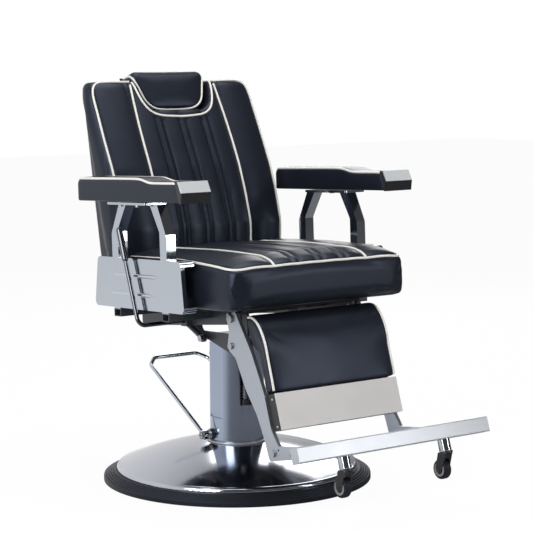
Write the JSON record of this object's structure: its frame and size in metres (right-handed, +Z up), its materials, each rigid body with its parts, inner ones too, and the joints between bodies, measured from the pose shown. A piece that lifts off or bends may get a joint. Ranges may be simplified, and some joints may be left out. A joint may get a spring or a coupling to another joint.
{
  "type": "hydraulic barber chair",
  "caption": "Reclining barber chair on a pump column with dome base, upholstered seat, back, headrest and arms, and a leg rest with footrest bar.",
  "frame": {"origin": "centre of the base's underside, on the floor", "axes": "+Z up, the chair faces -Y, the sitter's right hand is at -X"},
  "size_m": [0.72, 1.0181, 1.0523],
  "materials": {
    "chrome": "polished",
    "black_rubber": "ribbed, matt",
    "steel": "machined",
    "cast": "as cast",
    "slate_paint": "satin",
    "grey_paint": "satin",
    "black_paint": "satin",
    "leatherette": "semi-gloss",
    "board": "black-stained plywood",
    "black_plastic": "matt",
    "silver_bar": "satin"
  },
  "bodies": {
    "base": {"base_plate": "cast", "base_dome": "chrome", "rubber_ring": "black_rubber", "foot_collar": "silver_bar", "pump_housing": "chrome", "flange_bolts": "steel", "gland_ring": "steel", "plunger_collar": "black_plastic", "plunger_spring": "steel", "pedal_bearings": "black_paint", "pedal_spring": "steel"},
    "plunger": {"pump_plunger": "steel"},
    "pedal": {"pedal_bail": "chrome", "pedal_shaft": "steel"},
    "lift": {"ram": "chrome"},
    "seat": {"saddle_bracket": "slate_paint", "cross_tube_front": "slate_paint", "cross_tube_rear": "slate_paint", "seat_rail_right": "slate_paint", "seat_rail_left": "slate_paint", "seat_board": "board", "seat_pins": "steel", "side_panel_right": "chrome", "side_panel_left": "chrome", "arm_legs_right": "chrome", "arm_legs_left": "chrome", "arm_plates": "chrome", "arm_bolts": "steel", "arm_strips": "black_plastic", "arm_caps": "chrome", "armrest_pad_right": "leatherette", "armrest_pad_left": "leatherette", "seat_cushion": "leatherette", "lever_block": "slate_paint"},
    "back": {"back_cushion": "leatherette", "back_frame": "slate_paint", "headrest_socket": "black_paint"},
    "headrest": {"headrest_pad": "leatherette", "headrest_stem": "steel"},
    "link": {"leg_link": "steel"},
    "strut": {"strut_tube": "slate_paint"},
    "strut_rod": {"strut_rod": "chrome"},
    "lever": {"recline_lever": "chrome"},
    "leg_rest": {"leg_arm_right": "grey_paint", "leg_arm_left": "grey_paint", "tie_tube": "steel", "foot_links": "grey_paint", "leg_bolts": "steel", "bumpers": "black_rubber", "leg_pad": "leatherette", "kickplate": "silver_bar", "kick_board": "black_plastic", "leg_sheet": "black_paint", "footrest_bar": "silver_bar", "caster_stems": "chrome"},
    "caster_right": {"caster_fork_right": "black_paint"},
    "caster_left": {"caster_fork_left": "black_paint"},
    "wheel_right": {"caster_wheel_right": "black_rubber"},
    "wheel_left": {"caster_wheel_left": "black_rubber"}
  },
  "joints": [
    {"name": "pump_stroke", "type": "slide", "parent": "base", "child": "plunger", "axis": [0, 0, -1], "range_m": [0, 0.012], "deforming": ["plunger_spring"]},
    {"name": "pedal_swing", "type": "hinge", "parent": "base", "child": "pedal", "pos_m": [0, 0.015, 0.118], "axis": [-1, 0, 0], "range_deg": [0, 22], "stiffness_Nm_per_rad": 12, "springref_deg": -40.11},
    {"name": "seat_lift", "type": "slide", "parent": "base", "child": "lift", "axis": [0, 0, 1], "range_m": [0, 0.16]},
    {"name": "seat_swivel", "type": "hinge", "parent": "lift", "child": "seat", "pos_m": [0, 0, 0.366], "axis": [0, 0, 1], "continuous": true},
    {"name": "recline", "type": "hinge", "parent": "seat", "child": "back", "pos_m": [0, 0.15378, 0.48337], "axis": [-1, 0, 0], "range_deg": [0, 42]},
    {"name": "headrest_height", "type": "slide", "parent": "back", "child": "headrest", "axis": [0, 0.3827, 0.9239], "range_m": [0, 0.1]},
    {"name": "leg_link_turn", "type": "hinge", "parent": "back", "child": "link", "pos_m": [0, 0.16256, 0.44026], "axis": [-1, 0, 0], "range_deg": [-42, 0]},
    {"name": "strut_turn", "type": "hinge", "parent": "seat", "child": "strut", "pos_m": [-0.092, 0.02, 0.372], "axis": [-1, 0, 0], "range_deg": [-5, 5]},
    {"name": "strut_slide", "type": "slide", "parent": "strut", "child": "strut_rod", "axis": [0, 0.9182, 0.3961], "range_m": [-0.04, 0]},
    {"name": "lever_pull", "type": "hinge", "parent": "seat", "child": "lever", "pos_m": [-0.333, -0.04956, 0.43419], "axis": [1, 0, 0], "range_deg": [0, 25], "stiffness_Nm_per_rad": 2, "springref_deg": -34.38},
    {"name": "leg_rest_raise", "type": "hinge", "parent": "seat", "child": "leg_rest", "pos_m": [0, -0.24626, 0.4614], "axis": [-1, 0, 0], "range_deg": [0, 28]},
    {"name": "caster_right_swivel", "type": "hinge", "parent": "leg_rest", "child": "caster_right", "pos_m": [-0.155, -0.63653, 0.15343], "axis": [0, 0.309, 0.9511], "continuous": true},
    {"name": "caster_left_swivel", "type": "hinge", "parent": "leg_rest", "child": "caster_left", "pos_m": [0.155, -0.63653, 0.15343], "axis": [0, 0.309, 0.9511], "continuous": true},
    {"name": "wheel_right_spin", "type": "hinge", "parent": "caster_right", "child": "wheel_right", "pos_m": [-0.155, -0.62536, 0.1069], "axis": [1, 0, 0], "continuous": true},
    {"name": "wheel_left_spin", "type": "hinge", "parent": "caster_left", "child": "wheel_left", "pos_m": [0.155, -0.62536, 0.1069], "axis": [1, 0, 0], "continuous": true}
  ],
  "couplings": [
    {"joint": "leg_rest_raise", "follows": "recline", "ratio": 0.66667},
    {"joint": "leg_link_turn", "follows": "recline", "ratio": -0.9868},
    {"joint": "strut_turn", "follows": "recline", "ratio": -0.0388},
    {"joint": "strut_slide", "follows": "recline", "m_per_rad": -0.048736},
    {"joint": "pump_stroke", "follows": "pedal_swing", "m_per_rad": 0.031}
  ]
}
